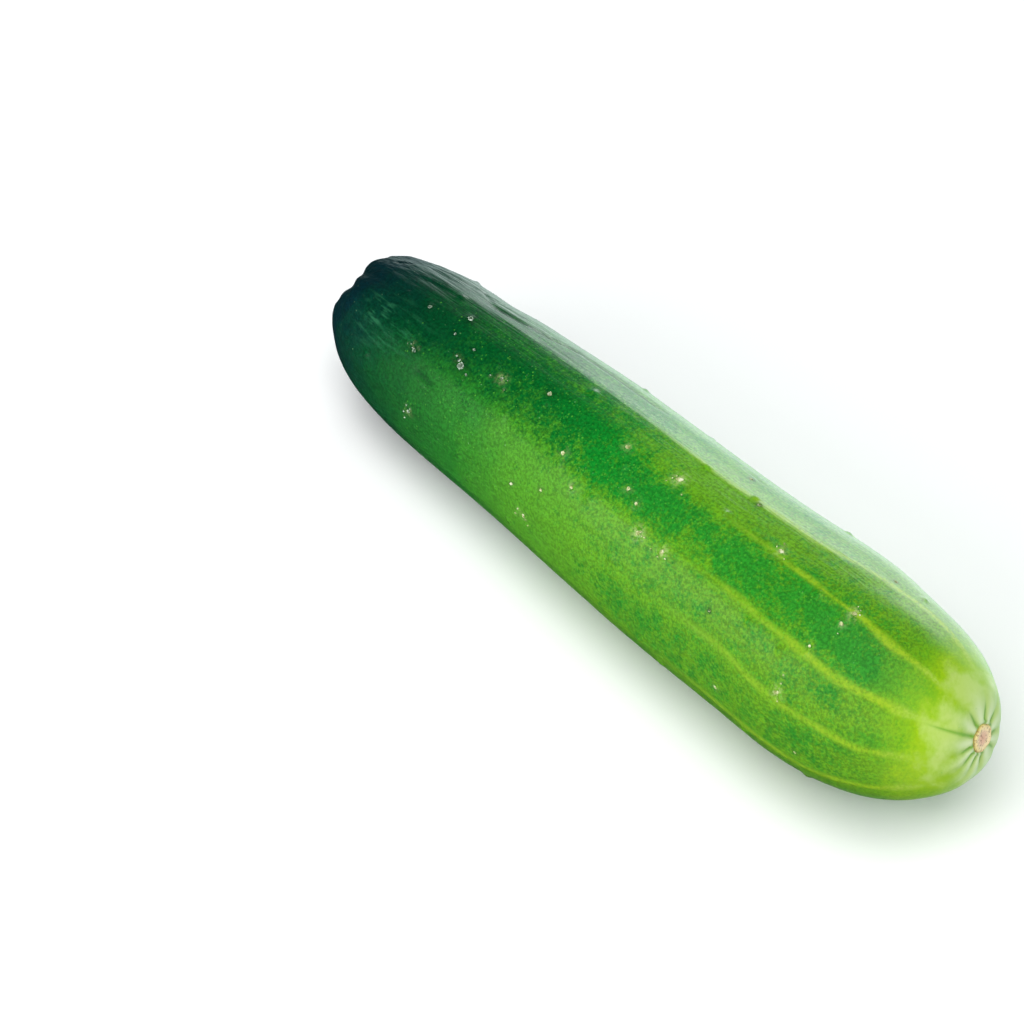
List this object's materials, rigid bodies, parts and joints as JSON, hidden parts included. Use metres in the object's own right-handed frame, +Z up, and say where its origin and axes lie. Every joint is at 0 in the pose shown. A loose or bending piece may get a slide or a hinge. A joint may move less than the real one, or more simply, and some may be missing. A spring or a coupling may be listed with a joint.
{
  "type": "cucumber",
  "caption": "Whole green cucumber lying on its side, thicker and paler towards the blossom end, with faint ribs, a furrowed dark stem end, small bumps and a corky blossom scar.",
  "frame": {"origin": "under the middle of the fruit's bounding box, on the surface that it lies on", "axes": "+X along the fruit from the stem end to the blossom end, +Z up, the blossom end leans a little to +Y"},
  "size_m": [0.1802, 0.0432, 0.0433],
  "materials": {
    "skin": "waxy satin vegetable skin, dark green at the stem end and yellow-green at the blossom end"
  },
  "bodies": {
    "root": {"cucumber": "skin"}
  },
  "joints": []
}
